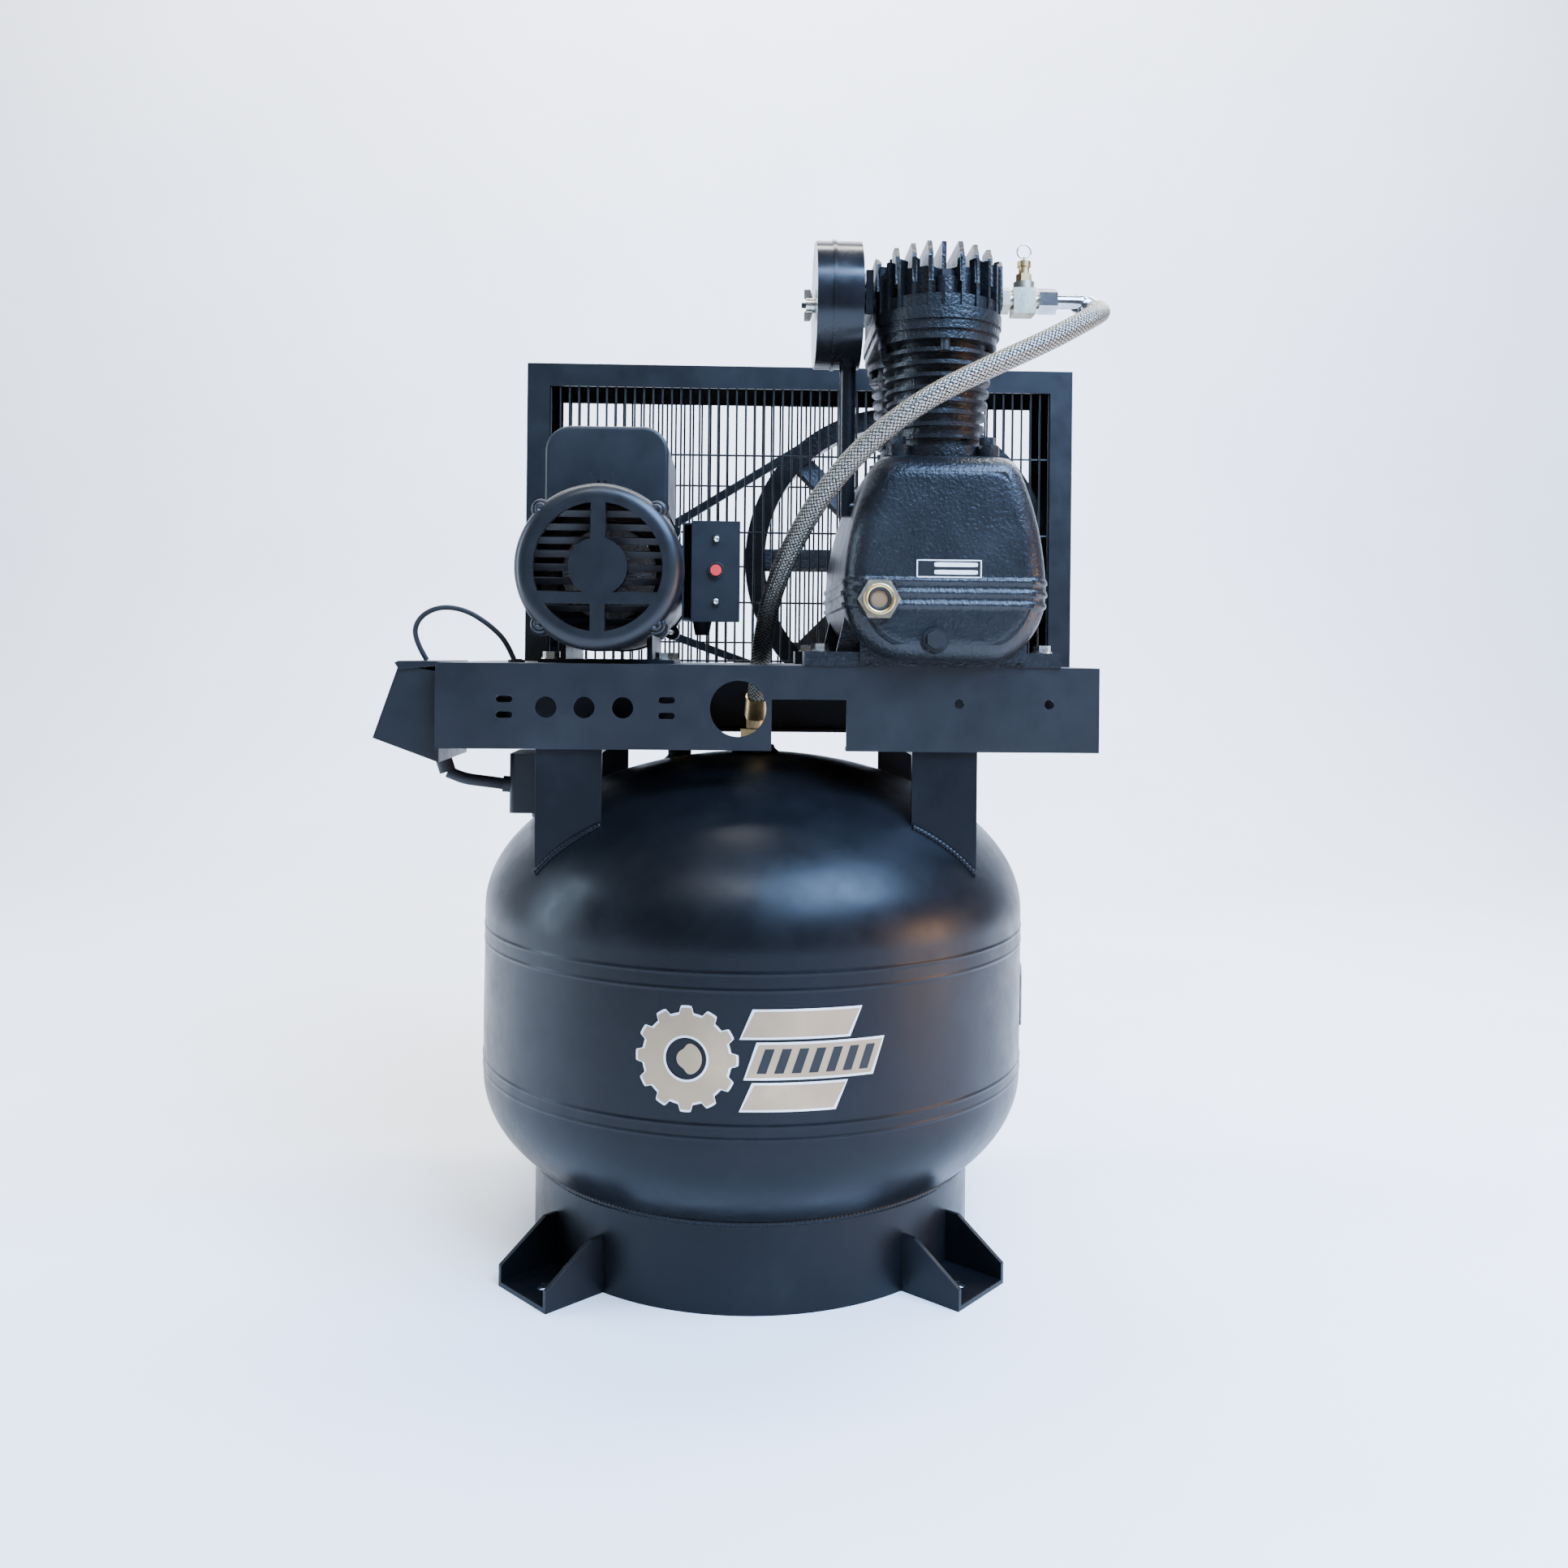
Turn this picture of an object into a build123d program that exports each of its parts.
from build123d import *
import os
from math import cos, pi, radians, sin, sqrt, tan

# Vertical receiver, belt-driven air compressor. Millimetres, +Z up, +X to the right seen
# from the front, -Y towards the front. The origin is on the tank's axis at floor level.

# ---- driving dimensions ----------------------------------------------------------------
# tank and base
TANK_R = 305.0
TANK_WALL = 3.5
TANK_LOW = 185.0
TANK_HIGH = 365.0
TOP_DOME = 172.0
BOTTOM_DOME = 160.0
SEAM_LAP = 24.0
SKIRT_R = 246.0
SKIRT_WALL = 4.0
FOOT_ANGLE = 42.0
FOOT_WIDTH = 85.0
FOOT_REACH = 312.0
FOOT_PLATE = 5.0
FOOT_HIGH = 58.0
FOOT_LOW = 22.0
ANCHOR_R = 285.0
ANCHOR_HOLE_R = 7.0
# platform
DECK_X0 = -330.0
DECK_X1 = 354.0
DECK_HALF_Y = 180.0
DECK_TOP = 638.0
DECK_DEEP = 88.0
DECK_SHEET = 4.0
DECK_LIP = 12.0
LEG_X = 194.0
LEG_WIDTH = 68.0
LEG_HALF_Y = 175.0
LEG_SHEET = 4.0
# pump
PUMP_X = 190.0
CRANK_Z = 775.0
CRANKCASE_FRONT = -210.0
CRANKCASE_BACK = 108.0
CRANKCASE_TOP = 854.0
CYLINDER_FRONT_Y = -120.0
CYLINDER_PITCH = 130.0
BORE_R = 38.0
STROKE = 50.0
CYLINDER_TOP = 988.0
VALVE_PLATE = 10.0
HEAD_R = 68.0
HEAD_TOP = 1083.0
JOURNAL_R = 17.5
# drive
FLYWHEEL_Y = 248.0
FLYWHEEL_WIDTH = 40.0
BELT_WIDTH = 16.0
BELT_HIGH = 10.5
BELT_FLYWHEEL_R = 198.0
BELT_PULLEY_R = 43.0
SHEAVE_GAP = 0.4
BELT_SIDE = 18.0
BELT_BACK = 3.7
BELT_SUNK = 1.3
FLYWHEEL_R = BELT_FLYWHEEL_R + BELT_BACK + BELT_SUNK
# motor
MOTOR_X = -165.0
MOTOR_Z = 737.0
MOTOR_R = 86.5
MOTOR_FRONT = -190.0
BELL_BACK = -128.0
MOTOR_BACK = 150.0
REAR_BELL = 104.0
SHAFT_R = 11.0
ROTOR_R = 52.0
AIR_GAP = 0.6
# guard
GUARD_X0 = -296.0
GUARD_X1 = 412.0
GUARD_Y0 = 190.0
GUARD_Y1 = 316.0
GUARD_Z0 = 552.0
GUARD_Z1 = 1022.0
GUARD_SHEET = 2.5
GUARD_FLANGE = 29.0
WIRE_R = 1.3
WIRE_PITCH = 12.0
WIRE_LAP = 10.0
# intake filter and discharge
FILTER_X0 = 58.0
FILTER_X1 = 107.0
FILTER_Z = 1029.0
FILTER_R = 68.0
PORT_Y = -100.0
PORT_Z = 1038.0
TEE_X = 287.0
HOSE_R = 11.0
HOSE_TOP = (364.0, -96.0, 1030.0)
VALVE_TOP = 600.0
# running clearances
RUNNING = 0.05
SLIDING = 0.3
HOLE = 0.5
TIP = 0.01

CABLE_HOLE = (-257.0, -120.0)
CABLE_HOLE_R = 6.0
BREATHER_X = 95.0
BREATHER_LOW = 800.0
TUBE_R = 9.0
MOTOR_BEARING_R = 24.0
MOTOR_BEARINGS_Y = (-166.0, 118.0)

DECK_UNDER = DECK_TOP - DECK_SHEET
DECK_BOTTOM = DECK_TOP - DECK_DEEP
LEG_TOP = DECK_BOTTOM
CYLINDER_BACK_Y = CYLINDER_FRONT_Y + CYLINDER_PITCH
CYLINDERS_Y = (CYLINDER_FRONT_Y, CYLINDER_BACK_Y)
HEAD_MID_Y = (CYLINDER_FRONT_Y + CYLINDER_BACK_Y) / 2
HEAD_BOTTOM = CYLINDER_TOP + VALVE_PLATE
X_AXIS = (1, 0, 0)
Y_AXIS = (0, 1, 0)
Z_AXIS = (0, 0, 1)


# ---- helpers -----------------------------------------------------------------------------
def block(x0, x1, y0, y1, z0, z1):
    """A box between two corners."""
    return Pos((x0 + x1) / 2, (y0 + y1) / 2, (z0 + z1) / 2) * Box(x1 - x0, y1 - y0, z1 - z0)


def along(start, direction):
    """A plane at a start point whose normal is the direction."""
    return Plane(origin=start, z_dir=direction)


def rod(radius, length, start, direction=Z_AXIS):
    """A cylinder from a start point along a direction."""
    lift = (Align.CENTER, Align.CENTER, Align.MIN)
    return along(start, direction) * Cylinder(radius, length, align=lift)


def pipe(outer, inner, length, start, direction=Z_AXIS):
    """A hollow cylinder, cut right through."""
    ends = tuple(s - d * 1.0 for s, d in zip(start, direction))
    return rod(outer, length, start, direction) - rod(inner, length + 2, ends, direction)


def hexagon(flats, length, start, direction=Z_AXIS):
    """A hexagonal bar measured across its flats."""
    outline = RegularPolygon(flats / sqrt(3), 6)
    return along(start, direction) * extrude(outline, length)


def hex_bolt(radius, length, start, direction, washer=True):
    """A bolt whose head stands on the start point and whose shank runs back from it."""
    back = tuple(-d for d in direction)
    flats = radius * 3.2
    shape = rod(radius, length, start, back)
    rise = 0.0
    if washer:
        rise = 1.6
        shape += rod(radius * 2.1, rise, start, direction)
    top = tuple(s + d * rise for s, d in zip(start, direction))
    return shape + hexagon(flats, radius * 1.3, top, direction)


def frustum(r0, r1, length, start, direction=Z_AXIS):
    """A cone's lower part from radius r0 at the start to r1 at the end."""
    lift = (Align.CENTER, Align.CENTER, Align.MIN)
    return along(start, direction) * Cone(r0, r1, length, align=lift)


def plate_yz(points, x0, x1):
    """A polygon in the YZ plane, given thickness from x0 to x1."""
    outline = make_face(Polyline([(0, y, z) for y, z in points], close=True))
    return Pos(x0, 0, 0) * extrude(outline, x1 - x0, dir=X_AXIS)


def plate_xz(points, y0, y1):
    """A polygon in the XZ plane, given thickness from y0 to y1."""
    outline = make_face(Polyline([(x, 0, z) for x, z in points], close=True))
    return Pos(0, y0, 0) * extrude(outline, y1 - y0, dir=Y_AXIS)


def group(*solids):
    """Separate solids that share one node."""
    return Compound(children=list(solids))


def save(name, shape):
    """Write one node's STEP file."""
    export_step(shape, f"parts/{name}.step")


# ---- tank ----------------------------------------------------------------------------------
def dome_body(radius, height, base_z, upward):
    """Half an ellipsoid on a flat base, solid."""
    sign = 1 if upward else -1
    arc = EllipticalCenterArc((0, 0), radius, height, start_angle=0, arc_size=90)
    face = make_face([arc, Line((0, height), (0, 0)), Line((0, 0), (radius, 0))])
    shape = revolve(Plane.XZ * face, Axis.Z)
    return Pos(0, 0, base_z) * (shape if sign > 0 else Rot(180, 0, 0) * shape)


def tank_head(height, base_z, upward):
    """A pressed dome with a straight lap that meets the shell."""
    sign = 1 if upward else -1
    outer = dome_body(TANK_R, height, base_z, upward)
    inner = dome_body(TANK_R - TANK_WALL, height - TANK_WALL, base_z, upward)
    low = min(base_z, base_z - sign * SEAM_LAP)
    return (outer - inner) + pipe(TANK_R, TANK_R - TANK_WALL, SEAM_LAP, (0, 0, low))


def tank_top_head():
    """The upper dome with the bosses that its fittings screw into."""
    head = tank_head(TOP_DOME, TANK_HIGH, True)
    apex = TANK_HIGH + TOP_DOME
    boss = rod(22, 16, (0, 0, apex - 8))
    relief = rod(14, 22, RELIEF_AT)
    head = head + (boss + relief - dome_body(TANK_R - 1, TOP_DOME - 1, TANK_HIGH, True))
    for x, y in ((0, 0), RELIEF_AT[:2]):
        head -= rod(8, 80, (x, y, apex - 60))
    return head


def dome_z(radius_at, height, base_z):
    """Height of the upper dome's outside at a radius from the axis."""
    return base_z + height * sqrt(1 - (radius_at / TANK_R) ** 2)


RELIEF_X = -90.0
RELIEF_Y = 60.0
RELIEF_TOP = dome_z(sqrt(RELIEF_X**2 + RELIEF_Y**2), TOP_DOME, TANK_HIGH) + 8
RELIEF_AT = (RELIEF_X, RELIEF_Y, RELIEF_TOP - 22)
OUTLET_Z = 300.0
OUTLET_Y = TANK_R
DRAIN_Z = 13.0
DRAIN_PIPE_R = 7.0


def tank_shell():
    """The rolled wall between the two domes, with the rear outlet's coupling."""
    low = TANK_LOW + SEAM_LAP
    wall = pipe(TANK_R, TANK_R - TANK_WALL, TANK_HIGH - SEAM_LAP - low, (0, 0, low))
    coupling = rod(20, 22, (0, TANK_R - 8, OUTLET_Z), Y_AXIS)
    wall += coupling - rod(TANK_R - 1, 200, (0, 0, OUTLET_Z - 100))
    return wall - rod(11, 60, (0, TANK_R - 40, OUTLET_Z), Y_AXIS)


def tank_bottom_head():
    """The lower dome with the drain's hole."""
    head = tank_head(BOTTOM_DOME, TANK_LOW, False)
    return head - rod(DRAIN_PIPE_R, 60, (0, 0, TANK_LOW - BOTTOM_DOME - 20))


def base_ring():
    """The rolled skirt the tank stands on, with a rear hole for the drain pipe."""
    ring = pipe(SKIRT_R, SKIRT_R - SKIRT_WALL, TANK_LOW - 40, (0, 0, 0))
    ring -= dome_body(TANK_R, BOTTOM_DOME, TANK_LOW, False)
    ring -= block(-TANK_R, TANK_R, -TANK_R, TANK_R, TANK_LOW - 70, TANK_LOW)
    ring -= rod(DRAIN_PIPE_R + 1, 40, (0, SKIRT_R - 20, DRAIN_Z), Y_AXIS)
    return ring.solids().sort_by(Axis.Z)[0]


def foot_bracket():
    """A channel foot with sloping side gussets, pointing along +X before it is turned."""
    half = FOOT_WIDTH / 2
    start = SKIRT_R - 20
    base = block(start, FOOT_REACH, -half, half, 0, FOOT_PLATE)
    outline = [(start, 0), (FOOT_REACH, 0), (FOOT_REACH, FOOT_LOW)]
    outline += [(SKIRT_R + 12, FOOT_HIGH), (start, FOOT_HIGH)]
    gusset = plate_xz(outline, 0, FOOT_PLATE)
    shape = base + Pos(0, -half, 0) * gusset + Pos(0, half - FOOT_PLATE, 0) * gusset
    shape -= rod(SKIRT_R, 200, (0, 0, -1))
    return shape - rod(ANCHOR_HOLE_R, 20, (ANCHOR_R, 0, -5))


def foot_brackets():
    """Four feet on the diagonals."""
    turns = (FOOT_ANGLE, 180 - FOOT_ANGLE, 180 + FOOT_ANGLE, -FOOT_ANGLE)
    return group(*[Rot(0, 0, turn) * foot_bracket() for turn in turns])


# ---- platform ------------------------------------------------------------------------------
SLOT_X = (-260.0, -94.0)
SLOT_RISE = 8.0
SLOT_HALF = 5.2
SLOT_R = 3.3
APRON_MID = 593.0
ROUND_HOLES = ((-217.5, 11.0), (-178.5, 11.0), (-139.0, 11.0), (-20.6, 29.0))
SMALL_HOLES = ((208.0, 5.0), (301.5, 5.0))
NOTCH_X = (14.0, 91.0)
NOTCH_TOP = 603.0
HOSE_HOLE = (4.0, -30.0)
HOSE_HOLE_R = 30.0
PUMP_BOLTS_X = (64.0, 298.0)
PUMP_BOLTS_Y = (-158.0, 78.0)
MOTOR_BOLTS_X = (MOTOR_X - 62, MOTOR_X + 62)
MOTOR_BOLTS_Y = (-70.0, 70.0)
BOLT_R = 5.0


def platform():
    """The folded pan that carries the motor and the pump."""
    y = DECK_HALF_Y
    t = DECK_SHEET
    pan = block(DECK_X0, DECK_X1, -y, y, DECK_BOTTOM, DECK_TOP)
    pan -= block(DECK_X0 + t, DECK_X1 - t, -y + t, y - t, DECK_BOTTOM + t, DECK_UNDER)
    inner_x = (DECK_X0 + t + DECK_LIP, DECK_X1 - t - DECK_LIP)
    inner_y = y - t - DECK_LIP
    pan -= block(inner_x[0], inner_x[1], -inner_y, inner_y, DECK_BOTTOM - 1, DECK_BOTTOM + t + 1)
    for x, radius in ROUND_HOLES + SMALL_HOLES:
        height = APRON_MID if radius > 6 else APRON_MID + 7
        pan -= rod(radius, 20, (x, -y - 10, height), Y_AXIS)
    for x in SLOT_X:
        for z in (APRON_MID - SLOT_RISE, APRON_MID + SLOT_RISE):
            pan -= block(x - SLOT_HALF, x + SLOT_HALF, -y - 5, -y + 5, z - SLOT_R, z + SLOT_R)
            for end in (x - SLOT_HALF, x + SLOT_HALF):
                pan -= rod(SLOT_R, 10, (end, -y - 5, z), Y_AXIS)
    pan -= block(NOTCH_X[0], NOTCH_X[1], -y - 5, -y + 20, DECK_BOTTOM - 5, NOTCH_TOP)
    pan -= rod(HOSE_HOLE_R, 20, (HOSE_HOLE[0], HOSE_HOLE[1], DECK_TOP - 10))
    pan -= bolt_holes(PUMP_BOLTS_X, PUMP_BOLTS_Y) + bolt_holes(MOTOR_BOLTS_X, MOTOR_BOLTS_Y)
    pan -= rod(CABLE_HOLE_R, 20, (CABLE_HOLE[0], CABLE_HOLE[1], DECK_TOP - 10))
    for x in GUARD_BOLTS_X:
        pan -= rod(GUARD_BOLT_R + HOLE, 30, (x, y - 15, GUARD_BOLT_LOW_Z), Y_AXIS)
    return pan


def bolt_holes(xs, ys):
    """Four clearance holes through the deck."""
    holes = [rod(BOLT_R + HOLE, 30, (x, y, DECK_TOP - 15)) for x in xs for y in ys]
    return holes[0] + holes[1] + holes[2] + holes[3]


def platform_leg(x):
    """A bracket bent like an upside-down U, its two ends cut to the dome."""
    x0 = x - LEG_WIDTH / 2
    x1 = x + LEG_WIDTH / 2
    y = LEG_HALF_Y
    shape = block(x0, x1, -y, y, TANK_HIGH, LEG_TOP)
    shape -= block(x0 - 1, x1 + 1, -y + LEG_SHEET, y - LEG_SHEET, TANK_HIGH - 1, LEG_TOP - LEG_SHEET)
    shape -= dome_body(TANK_R, TOP_DOME, TANK_HIGH, True)
    return shape.solids().sort_by(Axis.Z)[-1]


# ---- belt guard ----------------------------------------------------------------------------
GUARD_BOLTS_X = (-240.0, 0.0, 330.0)
GUARD_BOLT_R = 3.0
GUARD_BOLT_LOW_Z = 562.5
CRANK_WINDOW_R = 62.0
MOTOR_WINDOW_R = 34.0
FRONT_WIRES_Z = (907.0, 807.0, 716.0, 640.0)
REAR_WIRES_Z = (881.0, 770.0, 665.0)


def guard_frame():
    """A rectangular channel frame, open side inwards."""
    t = GUARD_SHEET
    f = GUARD_FLANGE
    shape = block(GUARD_X0, GUARD_X1, GUARD_Y0, GUARD_Y1, GUARD_Z0, GUARD_Z1)
    inner = (GUARD_X0 + t, GUARD_X1 - t, GUARD_Y0 + t, GUARD_Y1 - t, GUARD_Z0 + t, GUARD_Z1 - t)
    shape -= block(*inner)
    mouth = (GUARD_X0 + f, GUARD_X1 - f, GUARD_Y0 - 1, GUARD_Y1 + 1, GUARD_Z0 + f, GUARD_Z1 - f)
    shape -= block(*mouth)
    for x in GUARD_BOLTS_X:
        shape -= rod(GUARD_BOLT_R + HOLE, 20, (x, GUARD_Y0 - 5, GUARD_BOLT_LOW_Z), Y_AXIS)
    return shape


def guard_spacers():
    """Short sleeves that hold the guard's front flange off the platform's rear apron."""
    gap = GUARD_Y0 - DECK_HALF_Y
    hole = GUARD_BOLT_R + HOLE
    starts = [(x, DECK_HALF_Y, GUARD_BOLT_LOW_Z) for x in GUARD_BOLTS_X]
    return [pipe(8, hole, gap, start, Y_AXIS) for start in starts]


def grille(y, rows, windows, lean):
    """Upright wires welded to cross wires, with round windows for the shafts."""
    z0 = GUARD_Z0 + GUARD_FLANGE - WIRE_LAP
    z1 = GUARD_Z1 - GUARD_FLANGE + WIRE_LAP
    count = int((GUARD_X1 - GUARD_X0 - 2 * GUARD_FLANGE + 10) / WIRE_PITCH)
    first = (GUARD_X0 + GUARD_X1 - (count - 1) * WIRE_PITCH) / 2
    pieces = []
    for index in range(count):
        x = first + index * WIRE_PITCH
        spans = [(z0, z1)]
        for wx, wz, radius in windows:
            if abs(x - wx) < radius:
                reach = sqrt(radius**2 - (x - wx) ** 2)
                spans = [(z0, wz - reach), (wz + reach, z1)]
        pieces += [rod(WIRE_R, b - a, (x, y, a)) for a, b in spans]
    x0 = GUARD_X0 + GUARD_FLANGE - WIRE_LAP
    x1 = GUARD_X1 - GUARD_FLANGE + WIRE_LAP
    for z in rows:
        stops = [(x0, x1)]
        for wx, wz, radius in windows:
            if abs(z - wz) < radius:
                reach = sqrt(radius**2 - (z - wz) ** 2)
                last = stops.pop()
                stops += [(last[0], wx - reach), (wx + reach, last[1])]
        pieces += [rod(WIRE_R, b - a, (a, y + lean, z), X_AXIS) for a, b in stops]
    for wx, wz, radius in windows:
        pieces.append(along((wx, y + lean / 2, wz), Y_AXIS) * Torus(radius, WIRE_R * 1.6))
    return pieces[0].fuse(*pieces[1:])


def guard_grilles():
    """The front and rear wire faces."""
    windows = [(MOTOR_X, MOTOR_Z, MOTOR_WINDOW_R), (PUMP_X, CRANK_Z, CRANK_WINDOW_R)]
    lean = WIRE_R * 1.5
    front = grille(GUARD_Y0 + GUARD_SHEET + WIRE_R, FRONT_WIRES_Z, windows, lean)
    rear = grille(GUARD_Y1 - GUARD_SHEET - WIRE_R, REAR_WIRES_Z, [], -lean)
    return group(*front.solids(), *rear.solids())


# ---- pump ----------------------------------------------------------------------------------
CASE_CORNER = 22.0
FOOT_X = (47.0, 313.0)
FOOT_TOP = 653.0
CASE_KEEL = 644.0
SIGHT = (120.0, 706.0)
SIGHT_BOSS_R = 22.0
SIGHT_FACE = CRANKCASE_FRONT - 3.0
DRAIN_PLUG = (177.0, 666.0)
DRAIN_FACE = CRANKCASE_FRONT - 1.0
FILL = (-100.0, 768.0)
RIB_LEVELS = (725.0, 713.0, 701.0)
SPIGOT_R = 42.0
CARRIER_R = 58.0
CARRIER_BACK = 165.0
BEARING_OUT_R = 36.0
BEARING_WIDTH = 19.0
FRONT_BEARING_Y = -192.0


def case_outline(grow):
    """Front view of the crankcase: a rounded bowl, bulging sides and a narrow deck."""
    x = PUMP_X
    keel = (x + 58 + grow, CASE_KEEL)
    bilge = (x + 92 + grow, 672)
    wide = (x + 104 + grow, 722)
    side = (x + 98 + grow, 772)
    deck = (x + 70 + grow, CRANKCASE_TOP)
    right = [ThreePointArc(keel, bilge, wide), ThreePointArc(wide, side, deck)]
    left = [mirror(edge, Plane(origin=(x, 0, 0), z_dir=(1, 0, 0))) for edge in right]
    top = Line(deck, (2 * x - deck[0], deck[1]))
    base = Line(keel, (2 * x - keel[0], keel[1]))
    face = Plane.XZ * make_face(right + left + [top, base])
    corners = face.vertices().sort_by(Axis.Z)
    return fillet(corners[:2] + corners[-2:], CASE_CORNER)


def case_solid(grow, front, back):
    """The outline given depth, with a sloped nose at the front."""
    nose = 24.0
    outline = case_outline(grow)
    trunk = Pos(0, back, 0) * extrude(outline, back - front - nose)
    cap = Pos(0, front + nose, 0) * extrude(outline, nose, taper=36)
    return trunk + cap


def crankcase():
    """The cast housing: hollow, with two cylinder openings, four feet and cast ribs."""
    case = case_solid(0, CRANKCASE_FRONT, CRANKCASE_BACK)
    ribbed = case_solid(2.2, CRANKCASE_FRONT - 2.2, CRANKCASE_BACK)
    for z in RIB_LEVELS:
        case += ribbed & block(0, 400, -300, 300, z - 2.2, z + 2.2)
    case += deck_pads()
    case += rod(SIGHT_BOSS_R, 16, (SIGHT[0], SIGHT_FACE, SIGHT[1]), Y_AXIS)
    case += rod(15, 24, (DRAIN_PLUG[0], DRAIN_FACE, DRAIN_PLUG[1]), Y_AXIS)
    case += case_feet()
    case -= block(PUMP_X - 74, PUMP_X + 74, -172, CRANKCASE_BACK - 12, 668, 838)
    for y in CYLINDERS_Y:
        case -= rod(SPIGOT_R + HOLE, 60, (PUMP_X, y, 820))
    case -= rod(BEARING_OUT_R, BEARING_WIDTH, (PUMP_X, FRONT_BEARING_Y, CRANK_Z), Y_AXIS)
    case -= rod(JOURNAL_R + 2, 60, (PUMP_X, FRONT_BEARING_Y, CRANK_Z), Y_AXIS)
    case -= rod(CARRIER_R - 8, 60, (PUMP_X, CRANKCASE_BACK - 30, CRANK_Z), Y_AXIS)
    case -= rod(9, 50, (SIGHT[0], SIGHT_FACE - 5, SIGHT[1]), Y_AXIS)
    case -= rod(8, 60, (DRAIN_PLUG[0], CRANKCASE_FRONT - 5, DRAIN_PLUG[1]), Y_AXIS)
    case -= rod(8, 60, (PUMP_X + 70, FILL[0], FILL[1]), X_AXIS)
    case -= rod(TUBE_R + HOLE, 30, (BREATHER_X, PORT_Y, BREATHER_LOW), Z_AXIS)
    return case


def deck_pads():
    """The machined pad under each cylinder."""
    pads = [block(PUMP_X - 62, PUMP_X + 62, y - 62, y + 62, 840, CRANKCASE_TOP + 2) for y in CYLINDERS_Y]
    return pads[0] + pads[1]


def case_feet():
    """Four bolted feet, each tied to the side by a sloping web."""
    x = PUMP_X
    shape = block(x - 86, x + 86, CRANKCASE_FRONT + 22, CRANKCASE_BACK, FOOT_TOP - 10, 672)
    for y in PUMP_BOLTS_Y:
        y0 = y - 24
        y1 = y + 24
        shape += block(FOOT_X[0], FOOT_X[1], y0, y1, DECK_TOP, FOOT_TOP)
        left = [(FOOT_X[0] + 34, FOOT_TOP - 2), (x - 60, FOOT_TOP - 2), (x - 60, 710), (x - 98, 700)]
        right = [(2 * x - px, pz) for px, pz in left]
        right[0] = (FOOT_X[1] - 34, FOOT_TOP - 2)
        for outline in (left, right):
            shape += plate_xz(outline, y - 5, y + 5)
        for px in PUMP_BOLTS_X:
            shape -= rod(BOLT_R + HOLE, 40, (px, y, DECK_TOP - 5))
    return shape


def bearing_carrier():
    """The rear cover that holds the crankshaft's rear bearing."""
    y = CRANKCASE_BACK
    shape = rod(CARRIER_R + 14, 12, (PUMP_X, y, CRANK_Z), Y_AXIS)
    shape += rod(CARRIER_R - 8 - HOLE, 12, (PUMP_X, y - 12, CRANK_Z), Y_AXIS)
    cone = (PUMP_X, y + 12, CRANK_Z)
    shape += frustum(CARRIER_R, BEARING_OUT_R + 8, CARRIER_BACK - y - 12, cone, Y_AXIS)
    shape -= rod(JOURNAL_R + 4, 120, (PUMP_X, CRANKCASE_BACK - 20, CRANK_Z), Y_AXIS)
    shape -= rod(BEARING_OUT_R, BEARING_WIDTH, (PUMP_X, CARRIER_BACK - BEARING_WIDTH - 6, CRANK_Z), Y_AXIS)
    for turn in range(6):
        angle = radians(30 + 60 * turn)
        x = PUMP_X + (CARRIER_R + 6) * cos(angle)
        z = CRANK_Z + (CARRIER_R + 6) * sin(angle)
        shape += hexagon(13, 6, (x, y + 12, z), Y_AXIS)
    return shape


def cylinder(y):
    """A finned barrel on a bolted base, with a spigot in the crankcase."""
    at = (PUMP_X, y, CRANKCASE_TOP + 2)
    base_top = CRANKCASE_TOP + 14
    shape = rod(SPIGOT_R, CYLINDER_TOP - CRANKCASE_TOP + 10, (PUMP_X, y, CRANKCASE_TOP - 10))
    shape += rod(60, base_top - at[2], at)
    for sx in (-1, 1):
        for sy in (-1, 1):
            foot = (PUMP_X + sx * 47, y + sy * 47, at[2])
            shape += rod(12, base_top - at[2], foot)
            shape += hexagon(15, 9, (foot[0], foot[1], base_top))
    shape += rod(BORE_R + 8, CYLINDER_TOP - base_top, (PUMP_X, y, base_top))
    fins = 8
    low = base_top + 9
    pitch = (CYLINDER_TOP - 10 - low) / fins
    for index in range(fins):
        radius = 50 + 9 * index / (fins - 1)
        shape += rod(radius, 4.2, (PUMP_X, y, low + pitch * index))
    shape += rod(63, 10, (PUMP_X, y, CYLINDER_TOP - 10))
    shape -= rod(BORE_R, 200, (PUMP_X, y, CRANKCASE_TOP - 20))
    for bx, by in head_bolt_places():
        shape -= rod(BOLT_R + HOLE, 40, (bx, by, CYLINDER_TOP - 25))
    return shape


HEAD_BOLT_REACH = 56.0


def head_bolt_places():
    """Bolt centres round the head: one at each end and two at each cylinder."""
    r = HEAD_BOLT_REACH
    places = [(PUMP_X, CYLINDER_FRONT_Y - r), (PUMP_X, CYLINDER_BACK_Y + r)]
    places += [(PUMP_X + side * r, y) for side in (-1, 1) for y in CYLINDERS_Y]
    return places


def stadium(radius, z0, z1):
    """A slot-shaped block round both cylinder axes."""
    outline = SlotCenterToCenter(CYLINDER_PITCH, 2 * radius, rotation=90)
    return Pos(PUMP_X, HEAD_MID_Y, z0) * extrude(outline, z1 - z0)


def valve_plate():
    """The flat plate between cylinders and head, with its reed ports."""
    plate = stadium(HEAD_R - 2, CYLINDER_TOP, HEAD_BOTTOM)
    for y in CYLINDERS_Y:
        for side in (-1, 1):
            plate -= rod(8, 20, (PUMP_X + side * 17, y, CYLINDER_TOP - 5))
    for bx, by in head_bolt_places():
        plate -= rod(BOLT_R + HOLE, 30, (bx, by, CYLINDER_TOP - 5))
    return plate


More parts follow.
